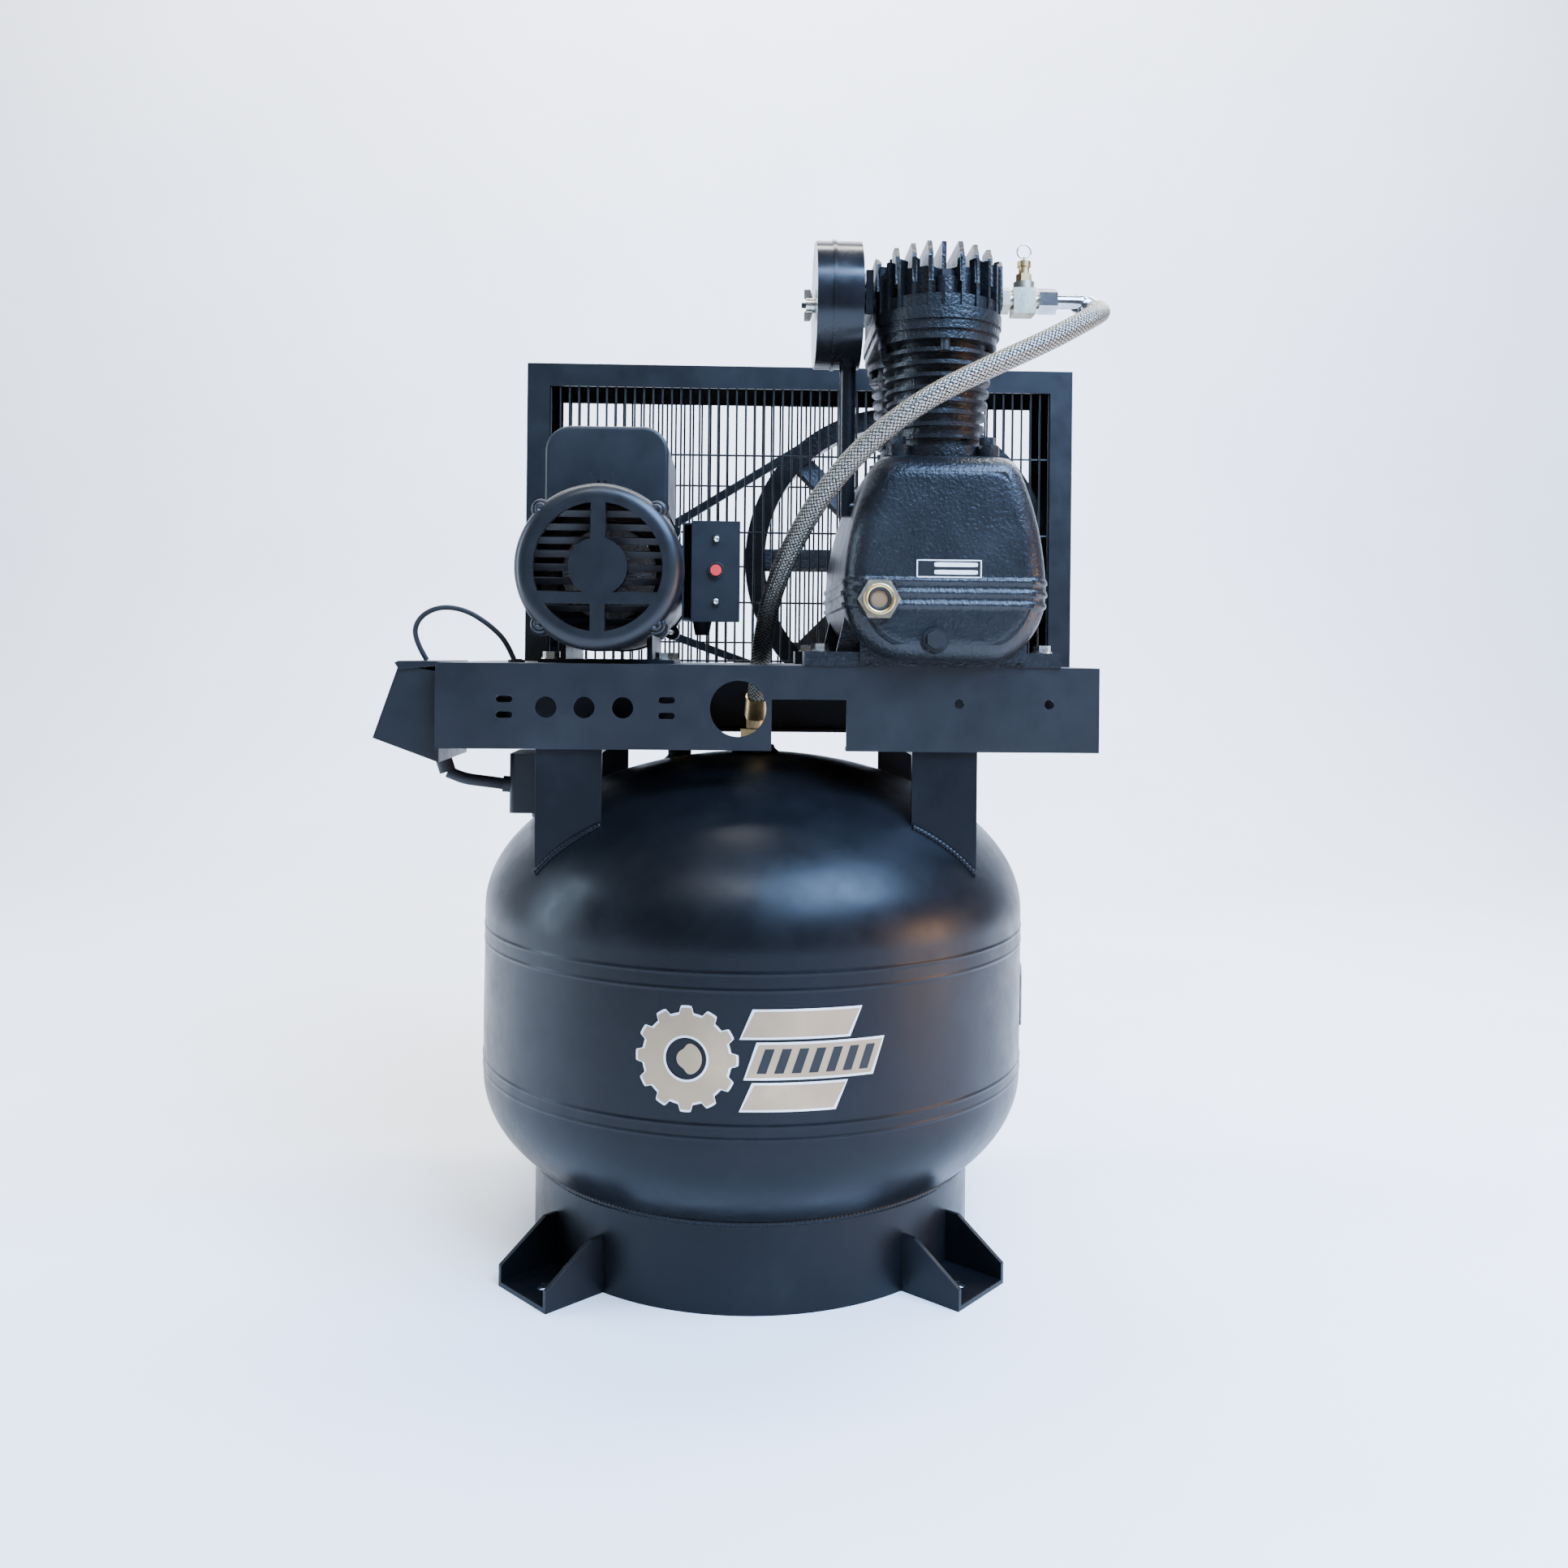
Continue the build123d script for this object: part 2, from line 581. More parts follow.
def cylinder_head():
    """The cast head: two rim bands, upright side ribs and tall top fins."""
    band = HEAD_BOTTOM + 13
    rib_top = 1062.0
    head = stadium(HEAD_R, HEAD_BOTTOM, band) + stadium(HEAD_R - 3, band, band + 13)
    head += stadium(HEAD_R - 11, band, rib_top - 8)
    head += head_side_ribs(band, rib_top)
    for index in range(9):
        offset = (index - 4) * 16.2
        reach = CYLINDER_PITCH / 2 + sqrt((HEAD_R - 1) ** 2 - offset**2)
        y0 = HEAD_MID_Y - reach
        y1 = HEAD_MID_Y + reach
        tip = HEAD_TOP - abs(index - 4) * 1.5
        fin = [(y0, 1036), (y1, 1036), (y1 - 3, 1066), (y1 - 15, tip), (y0 + 15, tip), (y0 + 3, 1066)]
        head += plate_yz(fin, PUMP_X + offset - 2.4, PUMP_X + offset + 2.4)
    for side in (-1, 1):
        x0 = min(PUMP_X + side * 50, PUMP_X + side * (HEAD_R + 2))
        head += rod(17, HEAD_R - 48, (x0, PORT_Y, PORT_Z), X_AXIS)
    for bx, by in head_bolt_places():
        head -= rod(12, 80, (bx, by, 1040))
        head += rod(10.5, 1040 - HEAD_BOTTOM, (bx, by, HEAD_BOTTOM))
        head -= rod(BOLT_R + HOLE, 80, (bx, by, HEAD_BOTTOM - 5))
    head -= rod(10, 400, (PUMP_X - 200, PORT_Y, PORT_Z), X_AXIS)
    return head


def head_side_ribs(z0, z1):
    """Upright ribs along both sides and round both ends."""
    reach = HEAD_R - 13
    ribs = []
    for index in range(-5, 6):
        for side in (-1, 1):
            rib = block(reach, HEAD_R - 1, -2, 2, z0, z1)
            spot = Pos(PUMP_X, HEAD_MID_Y + index * 12, 0) * Rot(0, 0, 0 if side > 0 else 180)
            ribs.append(spot * rib)
    for y, turn in ((CYLINDER_FRONT_Y, 180), (CYLINDER_BACK_Y, 0)):
        for index in range(1, 12):
            rib = block(reach, HEAD_R - 1, -2, 2, z0, z1)
            ribs.append(Pos(PUMP_X, y, 0) * Rot(0, 0, turn + index * 15) * rib)
    return ribs[0].fuse(*ribs[1:])


def head_bolts():
    """Bolts from the head down into the cylinders."""
    length = 1040 - CYLINDER_TOP + 22
    return group(*[hex_bolt(BOLT_R, length, (x, y, 1040), Z_AXIS) for x, y in head_bolt_places()])


def crank_web(y):
    """One crank web: a disc-ended counterweight, turned so the pin is on its long side."""
    return rod(46, 12, (PUMP_X, y, CRANK_Z), Y_AXIS)


CRANK_NOSE = FLYWHEEL_Y + FLYWHEEL_WIDTH / 2 + 6


def crankshaft():
    """Main journals, four webs and two crankpins half a turn apart."""
    front_end = FRONT_BEARING_Y + 1
    first_web = CYLINDERS_Y[0] - 24
    shaft = rod(JOURNAL_R - RUNNING, first_web - front_end, (PUMP_X, front_end, CRANK_Z), Y_AXIS)
    for y, throw in zip(CYLINDERS_Y, (STROKE / 2, -STROKE / 2)):
        shaft += crank_web(y - 25) + crank_web(y + 13)
        shaft += rod(15, 40, (PUMP_X, y - 20, CRANK_Z + throw), Y_AXIS)
    gap = CYLINDERS_Y[1] - 25 - (CYLINDERS_Y[0] + 25)
    shaft += rod(22, gap, (PUMP_X, CYLINDERS_Y[0] + 25, CRANK_Z), Y_AXIS)
    start = CYLINDERS_Y[1] + 20
    shaft += rod(JOURNAL_R - RUNNING, CRANK_NOSE - start, (PUMP_X, start, CRANK_Z), Y_AXIS)
    shaft += hexagon(30, 9, (PUMP_X, CRANK_NOSE, CRANK_Z), Y_AXIS)
    return shaft


def ball_bearings():
    """Rolling bearings of the crankshaft and the motor, as plain rings."""
    rear_y = CARRIER_BACK - BEARING_WIDTH - 6
    rings = []
    for y in (FRONT_BEARING_Y, rear_y):
        rings.append(pipe(BEARING_OUT_R, JOURNAL_R, BEARING_WIDTH, (PUMP_X, y, CRANK_Z), Y_AXIS))
    for y in MOTOR_BEARINGS_Y:
        rings.append(pipe(MOTOR_BEARING_R, SHAFT_R, 14, (MOTOR_X, y, MOTOR_Z), Y_AXIS))
    return group(*rings)


def piston(y, crown):
    """A trunk piston with ring grooves and its wrist pin."""
    radius = BORE_R - SLIDING
    height = 54.0
    shape = rod(radius, height, (PUMP_X, y, crown - height))
    shape -= rod(radius - 6, height - 12, (PUMP_X, y, crown - height - 1))
    for drop in (7, 14, 21):
        shape -= pipe(radius + 1, radius - 2, 2, (PUMP_X, y, crown - drop))
    return shape + rod(8, 2 * radius - 8, (PUMP_X - radius + 4, y, crown - 32), X_AXIS)


# ---- flywheel and belt -----------------------------------------------------------------------
def belt_half(depth):
    """Half the belt's width at a depth below its back."""
    return BELT_WIDTH / 2 - depth * tan(radians(BELT_SIDE))


def sheave_groove(rim_radius):
    """The V groove that the belt runs in, as a turned ring to cut."""
    outer = rim_radius + 1
    inner = rim_radius - BELT_SUNK - BELT_HIGH - 1.5
    low = belt_half(rim_radius - BELT_SUNK - inner) + SHEAVE_GAP
    high = belt_half(rim_radius - BELT_SUNK - outer) + SHEAVE_GAP
    outline = [(inner, -low), (inner, low), (outer, high), (outer, -high)]
    face = make_face(Polyline([(r, 0, y) for r, y in outline], close=True))
    return revolve(face, Axis.Z)


def flywheel():
    """A grooved rim on eight pitched spokes, with a hub keyed to the crankshaft."""
    half = FLYWHEEL_WIDTH / 2
    rim_in = FLYWHEEL_R - 26
    rim = pipe(FLYWHEEL_R, rim_in, FLYWHEEL_WIDTH, (0, 0, -half)) - sheave_groove(FLYWHEEL_R)
    hub = rod(36, FLYWHEEL_WIDTH, (0, 0, -half))
    shape = rim + hub
    for index in range(8):
        blade = Pos((rim_in + 30) / 2, 0, 0) * Rot(35, 0, 0) * Box(rim_in - 26, 32, 8)
        shape += Rot(0, 0, 45 * index) * blade
    shape -= rod(JOURNAL_R - RUNNING, 100, (0, 0, -50))
    shape -= pipe(FLYWHEEL_R + 50, FLYWHEEL_R, 100, (0, 0, -50))
    return along((PUMP_X, FLYWHEEL_Y, CRANK_Z), Y_AXIS) * shape


def motor_pulley():
    """A small grooved pulley on the motor's shaft."""
    rim = BELT_PULLEY_R + BELT_BACK + BELT_SUNK
    shape = rod(rim, 24, (0, 0, -12)) - sheave_groove(rim)
    shape += rod(20, 16, (0, 0, -28))
    shape -= rod(SHAFT_R - RUNNING, 100, (0, 0, -50))
    return along((MOTOR_X, FLYWHEEL_Y, MOTOR_Z), Y_AXIS) * shape


def belt_contour(grow):
    """The closed line of a belt round the two sheaves, as a face seen from the front."""
    dx = PUMP_X - MOTOR_X
    dz = CRANK_Z - MOTOR_Z
    span = sqrt(dx**2 + dz**2)
    big = BELT_FLYWHEEL_R + grow
    small = BELT_PULLEY_R + grow
    lean = (big - small) / span
    rise = sqrt(1 - lean**2)
    small_top = (-lean * small, rise * small)
    small_low = (-lean * small, -rise * small)
    big_top = (span - lean * big, rise * big)
    big_low = (span - lean * big, -rise * big)
    lines = [Line(small_top, big_top), ThreePointArc(big_top, (span + big, 0), big_low)]
    lines += [Line(big_low, small_low), ThreePointArc(small_low, (-small, 0), small_top)]
    centre = (MOTOR_X, FLYWHEEL_Y, MOTOR_Z)
    view = Plane(origin=centre, x_dir=(dx / span, 0, dz / span), z_dir=(0, -1, 0))
    return view * make_face(lines)


def drive_belt():
    """One V belt as a closed loop, narrower towards its inside."""
    step = BELT_HIGH / 3
    shape = None
    for index in range(3):
        outside = BELT_BACK - index * step
        reach = belt_half((index + 1) * step)
        ring = extrude(belt_contour(outside), reach, both=True)
        ring -= extrude(belt_contour(outside - step), reach + 1, both=True)
        shape = ring if shape is None else shape + ring
    return shape


# ---- intake filter, breather and discharge ---------------------------------------------------
FILTER_MID = (FILTER_X0 + FILTER_X1) / 2
FILTER_WALL = 1.5
NECK_R = 17.0
NECK_END = PUMP_X - HEAD_R - 2.0
STUD_R = 3.0
STUD_END = FILTER_X0 - 14.0
RELIEF_BODY = 26.0


def filter_half(x0, x1, closed_at_end):
    """One pressed half of the round filter can."""
    shape = rod(FILTER_R, x1 - x0, (x0, PORT_Y, FILTER_Z), X_AXIS)
    start = x0 - 1 if closed_at_end else x0 + FILTER_WALL
    return shape - rod(FILTER_R - FILTER_WALL, x1 - x0 - FILTER_WALL + 1, (start, PORT_Y, FILTER_Z), X_AXIS)


def filter_base():
    """The can's inner half with its stud, and the neck and flange that bolt to the head."""
    shape = filter_half(FILTER_MID, FILTER_X1, True)
    shape += rod(NECK_R, NECK_END - FILTER_X1, (FILTER_X1, PORT_Y, PORT_Z), X_AXIS)
    shape += block(NECK_END - 8, NECK_END, PORT_Y - 26, PORT_Y + 26, PORT_Z - 24, PORT_Z + 24)
    shape -= rod(9, NECK_END - FILTER_X1 + 10, (FILTER_X1 + FILTER_WALL, PORT_Y, PORT_Z), X_AXIS)
    shape += rod(STUD_R, FILTER_X1 - STUD_END, (STUD_END, PORT_Y, FILTER_Z), X_AXIS)
    return shape - rod(TUBE_R + HOLE, 20, breather_top(-6))


def breather_top(drop):
    """Where the breather meets the can's underside, lowered by a drop."""
    return (BREATHER_X, PORT_Y, FILTER_Z - FILTER_R + drop)


def filter_cover():
    """The can's outer half, held by the wing nut, with its raised seam."""
    shape = filter_half(FILTER_X0, FILTER_MID - TIP, False)
    seam = pipe(FILTER_R + 1.6, FILTER_R, 4, (FILTER_MID - 7, PORT_Y, FILTER_Z), X_AXIS)
    return shape + seam - rod(STUD_R + HOLE, 20, (FILTER_X0 - 5, PORT_Y, FILTER_Z), X_AXIS)


def wing_nut():
    """A nut with two wings, free to turn on the can's stud."""
    x1 = FILTER_X0 - SLIDING
    shape = rod(8, 9, (x1 - 9, PORT_Y, FILTER_Z), X_AXIS)
    for side in (-1, 1):
        wing = [(0, 2), (4, 2), (0, 17), (-7, 17), (-7, 8)]
        outline = [(x1 - 4 + x, FILTER_Z + side * z) for x, z in wing]
        shape += plate_xz(outline, PORT_Y - 1.5, PORT_Y + 1.5)
    return shape - rod(STUD_R + RUNNING, 30, (x1 - 20, PORT_Y, FILTER_Z), X_AXIS)


def breather_tube():
    """The tube from the crankcase's shoulder up into the filter."""
    length = FILTER_Z - FILTER_R + 5 - BREATHER_LOW
    side = rod(TUBE_R, 34, (BREATHER_X, PORT_Y, BREATHER_LOW + TUBE_R), X_AXIS)
    return rod(TUBE_R, length, (BREATHER_X, PORT_Y, BREATHER_LOW)) + side - case_core()


def case_core():
    """The crankcase's outer form, for cutting what butts against it."""
    return case_solid(0, CRANKCASE_FRONT, CRANKCASE_BACK)


def discharge_tee():
    """A nipple from the head into a tee with branches up and to the right."""
    start = PUMP_X + HEAD_R + 2
    at = (start, PORT_Y, PORT_Z)
    shape = rod(9, TEE_X - start, at, X_AXIS) + hexagon(26, 8, (start + 2, PORT_Y, PORT_Z), X_AXIS)
    shape += block(TEE_X - 13, TEE_X + 11, PORT_Y - 13, PORT_Y + 13, PORT_Z - 16, PORT_Z + 12)
    shape += rod(11.5, 8, (TEE_X, PORT_Y, PORT_Z + 12))
    shape += rod(8, 12, (TEE_X + 9, PORT_Y, PORT_Z), X_AXIS)
    return shape - rod(5, 60, (start - 5, PORT_Y, PORT_Z), X_AXIS)


TEE_RELIEF = (TEE_X, PORT_Y, PORT_Z + 20)
TANK_RELIEF = (RELIEF_X, RELIEF_Y, RELIEF_TOP)


def relief_valve(base):
    """A brass safety valve body: hexagon, barrel and a bored cap for its stem."""
    x, y, z = base
    shape = hexagon(15, 9, base) + rod(6, 9, (x, y, z + 9)) + rod(7.5, 6, (x, y, z + 17))
    return shape - rod(1.6 + SLIDING, 12, (x, y, z + 13))


def relief_ring(base):
    """The pull ring on a safety valve's stem."""
    x, y, z = base
    shape = rod(1.6, 14, (x, y, z + 14))
    return shape + Pos(x, y, z + 34.5) * Rot(90, 0, 0) * Torus(7.5, 1.1)


def between(radius, start, end):
    """A round bar from one point to another."""
    step = Vector(*end) - Vector(*start)
    return rod(radius, step.length, start, tuple(step))


def hose_fittings():
    """The union nut, the bent tail and the crimped ferrule at the pump's end."""
    x = TEE_X + 21
    bend = (x + 41, PORT_Y + 6, PORT_Z)
    shape = hexagon(25, 20, (x - 6, PORT_Y, PORT_Z), X_AXIS)
    shape += rod(7.5, 28, (x + 13, PORT_Y, PORT_Z), X_AXIS)
    shape += Pos(*bend) * Sphere(10.5)
    middle = tuple(b + (h - b) * 0.35 for b, h in zip(bend, HOSE_TOP))
    shape += between(9.5, bend, middle) + between(HOSE_R + 2, middle, HOSE_TOP)
    return shape - rod(8, 14 + TIP, (x - 14, PORT_Y, PORT_Z), X_AXIS) - hose_tube()


def check_valve():
    """The valve that the hose feeds, screwed into the tank's top, with its angled tail."""
    base = TANK_HIGH + TOP_DOME + 8
    elbow = (0, 0, base + 34)
    shape = hexagon(30, 18, (0, 0, base)) + rod(11, 16, (0, 0, base + 18))
    shape += rod(8, 24, (0, 0, base - 24)) + Pos(*elbow) * Sphere(12)
    return shape + between(HOSE_R + 2, elbow, HOSE_END) - hose_tube()


# ---- cords: each route's points, joined by straight runs and tangent arcs --------------------
HOSE_END = (1.0, -14.0, 601.0)
HOSE_ROUTE = [HOSE_TOP, (362, -152, 1017), (334, -204, 995), (280, -237, 962), (218, -250, 932)]
HOSE_ROUTE += [(158, -251, 901), (105, -235, 861), (62, -205, 813), (32, -158, 760)]
HOSE_ROUTE += [(14, -105, 712), (7, -62, 670), (3, -32, 634), HOSE_END]
STARTER_R = 2.75
STARTER_ROUTE = [(-352, -118, 639.3), (-366, -120, 662), (-362, -121, 684), (-340, -121, 697)]
STARTER_ROUTE += [(-312, -120, 694), (-286, -119, 678), (-266, -119, 658), (-257, -120, 634)]
CONDUIT_R = 6.5
CONDUIT_ROUTE = [(-341, -60, 516), (-322, -58, 508), (-300, -54, 505), (-282, -48, 502)]


def route_tube(points, radius, label):
    """A tube along straight runs joined by the largest tangent arcs that the runs allow."""
    spots = [Vector(*point) for point in points]
    runs = [b - a for a, b in zip(spots, spots[1:])]
    radii = []
    for before, after in zip(runs, runs[1:]):
        turn = radians(before.get_angle(after))
        radii.append(0.45 * min(before.length, after.length) / tan(turn / 2))
    path = FilletPolyline(*spots, radius=radii)
    section = along(tuple(spots[0]), tuple(runs[0])) * Circle(radius)
    tube = sweep(section, path=path)
    whole = pi * radius**2 * path.length
    print(label, "radii", [round(r) for r in radii], "volume share", round(tube.volume / whole, 4))
    return tube


def hose_tube():
    """The braided discharge hose from the pump to the tank."""
    return route_tube(HOSE_ROUTE, HOSE_R, "discharge hose")


def starter_tube():
    """The thin lead that loops from the starter box down through the deck."""
    return route_tube(STARTER_ROUTE, STARTER_R, "starter cable")


def conduit_tube():
    """The wiring conduit from the starter to the pressure switch."""
    return route_tube(CONDUIT_ROUTE, CONDUIT_R, "switch conduit")


# ---- motor -----------------------------------------------------------------------------------
SHELL_WALL = 4.0
LUG_REACH = 88.0
LUG_R = 9.0
LUG_FRONT = -172.0
WINDOW_OUT = 66.0
WINDOW_IN = 30.0
BELL_BAR = 15.0
THROUGH_R = 3.0


def motor_frame():
    """The rolled shell with the cradle base welded under it."""
    length = REAR_BELL - BELL_BACK
    shape = pipe(MOTOR_R - 2, MOTOR_R - 2 - SHELL_WALL, length, (MOTOR_X, BELL_BACK, MOTOR_Z), Y_AXIS)
    plate = block(MOTOR_X - 74, MOTOR_X + 74, -88, 88, DECK_TOP, DECK_TOP + 4)
    bore = rod(MOTOR_R - 3, 400, (MOTOR_X, -200, MOTOR_Z), Y_AXIS)
    for x in (MOTOR_X - 50, MOTOR_X + 44):
        plate += block(x, x + 6, -86, 86, DECK_TOP, DECK_TOP + 50)
    shape += plate - bore
    for x in MOTOR_BOLTS_X:
        for y in MOTOR_BOLTS_Y:
            shape -= rod(BOLT_R + HOLE, 20, (x, y, DECK_TOP - 5))
    return shape


def lug_places():
    """Centres of the four through-bolt lugs round the motor."""
    angles = [radians(45 + 90 * index) for index in range(4)]
    return [(MOTOR_X + LUG_REACH * cos(a), MOTOR_Z + LUG_REACH * sin(a)) for a in angles]


def motor_front_bell():
    """The cast front bell with windows round a hub, in quarter and half rings."""
    y0 = MOTOR_FRONT
    shape = rod(MOTOR_R, BELL_BACK - y0, (MOTOR_X, y0, MOTOR_Z), Y_AXIS)
    edge = shape.edges().filter_by(GeomType.CIRCLE).sort_by(Axis.Y)[0]
    shape = fillet(edge, 14)
    for x, z in lug_places():
        shape += rod(LUG_R, BELL_BACK - LUG_FRONT, (x, LUG_FRONT, z), Y_AXIS)
    shape -= rod(MOTOR_R - 5, BELL_BACK - y0 - 6 + 1, (MOTOR_X, y0 + 6, MOTOR_Z), Y_AXIS)
    window = pipe(WINDOW_OUT, WINDOW_IN, 12, (MOTOR_X, y0 - 2, MOTOR_Z), Y_AXIS)
    half = BELL_BAR / 2
    bars = block(MOTOR_X - half, MOTOR_X + half, y0 - 5, y0 + 20, MOTOR_Z - 90, MOTOR_Z + 90)
    bars += block(MOTOR_X - 90, MOTOR_X + 90, y0 - 5, y0 + 20, MOTOR_Z - 38, MOTOR_Z - 26)
    shape -= window - bars
    hub = rod(MOTOR_BEARING_R + 5, 26, (MOTOR_X, y0 + 5, MOTOR_Z), Y_AXIS)
    reach = MOTOR_R - 3
    spider = block(MOTOR_X - half, MOTOR_X + half, y0 + 4, y0 + 18, MOTOR_Z - reach, MOTOR_Z + reach)
    shape += hub + (spider & rod(MOTOR_R - 4, 40, (MOTOR_X, y0, MOTOR_Z), Y_AXIS))
    bearing_y = MOTOR_BEARINGS_Y[0]
    shape -= rod(MOTOR_BEARING_R, BELL_BACK - bearing_y, (MOTOR_X, bearing_y, MOTOR_Z), Y_AXIS)
    shape -= rod(SHAFT_R + 1.5, 16, (MOTOR_X, bearing_y - 8, MOTOR_Z), Y_AXIS)
    for x, z in lug_places():
        shape -= rod(THROUGH_R + HOLE, 80, (x, LUG_FRONT - 10, z), Y_AXIS)
        shape -= rod(6, 20, (x, LUG_FRONT - 20, z), Y_AXIS)
    return shape


def motor_rear_bell():
    """The cast rear bell that carries the rear bearing."""
    shape = rod(MOTOR_R, MOTOR_BACK - REAR_BELL, (MOTOR_X, REAR_BELL, MOTOR_Z), Y_AXIS)
    edge = shape.edges().filter_by(GeomType.CIRCLE).sort_by(Axis.Y)[-1]
    shape = fillet(edge, 14)
    for x, z in lug_places():
        shape += rod(LUG_R, 18, (x, REAR_BELL, z), Y_AXIS)
    shape -= rod(MOTOR_R - 5, MOTOR_BACK - REAR_BELL - 12, (MOTOR_X, REAR_BELL - 1, MOTOR_Z), Y_AXIS)
    seat = (MOTOR_X, MOTOR_BEARINGS_Y[1], MOTOR_Z)
    shape += rod(MOTOR_BEARING_R + 5, MOTOR_BACK - MOTOR_BEARINGS_Y[1] - 5, seat, Y_AXIS)
    shape -= rod(MOTOR_BEARING_R, 14, seat, Y_AXIS)
    shape -= rod(SHAFT_R + 1.5, 80, seat, Y_AXIS)
    for index in range(8):
        angle = radians(22.5 + 45 * index)
        at = (MOTOR_X + 55 * cos(angle), MOTOR_BACK - 20, MOTOR_Z + 55 * sin(angle))
        shape -= rod(10, 40, at, Y_AXIS)
    for x, z in lug_places():
        shape -= rod(THROUGH_R + HOLE, 60, (x, REAR_BELL - 10, z), Y_AXIS)
    return shape


def motor_louvre():
    """A pressed plate of sloping slats behind the front bell's windows."""
    y0 = MOTOR_FRONT + 20
    ring = pipe(MOTOR_R - 5 - HOLE, WINDOW_OUT + 2, 3, (MOTOR_X, y0, MOTOR_Z), Y_AXIS)
    disc = rod(MOTOR_R - 6, 12, (MOTOR_X, y0 - 6, MOTOR_Z), Y_AXIS)
    for index in range(-4, 5):
        slat = Pos(MOTOR_X, y0 + 1.5, MOTOR_Z + index * 14) * Rot(35, 0, 0) * Box(2 * MOTOR_R, 2, 8)
        ring += slat & disc
    return ring - rod(MOTOR_BEARING_R + 5 + HOLE, 40, (MOTOR_X, y0 - 10, MOTOR_Z), Y_AXIS)


def stator_core():
    """The laminated ring with the ends of its windings."""
    outer = MOTOR_R - 2 - SHELL_WALL
    inner = ROTOR_R + AIR_GAP
    core = pipe(outer, inner, 110, (MOTOR_X, -62, MOTOR_Z), Y_AXIS)
    for y in (-94, 48):
        core += pipe(outer - 8, inner + 4, 32, (MOTOR_X, y, MOTOR_Z), Y_AXIS)
    return core


def motor_rotor():
    """The rotor on its shaft, with the die-cast end rings' fan blades."""
    end = FLYWHEEL_Y + 14
    start = MOTOR_BEARINGS_Y[0] + 1
    shape = rod(SHAFT_R - RUNNING, end - start, (MOTOR_X, start, MOTOR_Z), Y_AXIS)
    shape += rod(ROTOR_R, 106, (MOTOR_X, -60, MOTOR_Z), Y_AXIS)
    ring = pipe(ROTOR_R - 2, SHAFT_R + 9, 6, (0, 0, 0))
    for index in range(8):
        ring += Rot(0, 0, 45 * index) * block(24, ROTOR_R - 3, -1.5, 1.5, 0, 18)
    for y, way in ((-60, (0, -1, 0)), (46, Y_AXIS)):
        shape += along((MOTOR_X, y, MOTOR_Z), way) * ring
    return shape


def motor_bolts():
    """Four long through-bolts, and the bent clip on top of the front bell."""
    length = REAR_BELL + 14 - LUG_FRONT
    bolts = []
    for x, z in lug_places():
        head = hexagon(9, 4, (x, LUG_FRONT - 4, z), Y_AXIS)
        bolts.append(head + rod(THROUGH_R, length, (x, LUG_FRONT, z), Y_AXIS))
    top = MOTOR_Z + MOTOR_R + TIP
    clip = block(MOTOR_X - 12, MOTOR_X + 12, -158, -142, top, top + 2)
    for side in (-1, 1):
        x = MOTOR_X + side * 11
        clip += block(x - 1, x + 1, -158, -142, top, top + 13)
    clip += hexagon(8, 4, (MOTOR_X, -150, top + 2))
    return group(*bolts, clip)


CAP_TOP = 895.0
CAP_FRONT = -100.0
CAP_BACK = 70.0
CAP_WIDE = 133.0
BOX_X = (-83.0, -22.0)
BOX_Z = (686.0, 792.0)
BOX_Y = (-94.0, 0.0)
BUTTON_AT = (-46.0, 740.0)
BUTTON_R = 6.0


def capacitor_cover():
    """The pressed cover over the capacitors, rounded at the top and cut to the shell."""
    x0 = MOTOR_X - CAP_WIDE / 2
    x1 = MOTOR_X + CAP_WIDE / 2
    box = block(x0, x1, CAP_FRONT, CAP_BACK, MOTOR_Z, CAP_TOP)
    corners = box.edges().filter_by(Axis.Y).group_by(Axis.Z)[-1]
    shape = fillet(corners, 28)
    shape = fillet(shape.faces().sort_by(Axis.Y)[0].edges().group_by(Axis.Z)[-1], 4)
    hollow = block(x0 + 2, x1 - 2, CAP_FRONT + 2, CAP_BACK - 2, MOTOR_Z - 1, CAP_TOP - 28)
    shape -= hollow
    notch = LUG_REACH * cos(radians(45)) + THROUGH_R + 1
    for side in (-1, 1):
        inner = MOTOR_X + side * (notch - 2 * THROUGH_R - 2)
        outer = MOTOR_X + side * CAP_WIDE
        near, far = sorted((inner, outer))
        shape -= block(near, far, CAP_FRONT - 9, CAP_BACK + 9, MOTOR_Z - 9, MOTOR_Z + notch)
    return shape - rod(MOTOR_R - 2, 400, (MOTOR_X, -200, MOTOR_Z), Y_AXIS)


def terminal_box():
    """The wiring box on the motor's right side, open to the front."""
    x0, x1 = BOX_X
    shape = block(x0, x1, BOX_Y[0] + 2, BOX_Y[1], *BOX_Z)
    shape -= block(x0 + 2, x1 - 2, BOX_Y[0] + 1, BOX_Y[1] - 2, BOX_Z[0] + 2, BOX_Z[1] - 2)
    for z in (704, 775):
        shape += rod(5, BOX_Y[1] - BOX_Y[0] - 2, (BUTTON_AT[0], BOX_Y[0] + 2, z), Y_AXIS)
    shape -= rod(MOTOR_R - 2 + TIP, 400, (MOTOR_X, -200, MOTOR_Z), Y_AXIS)
    shape -= rod(6.5, 10, (GRIP[0], GRIP[1], BOX_Z[0] - 3))
    return shape.solids().sort_by(SortBy.VOLUME)[-1]


GRIP = (-62.0, -40.0)


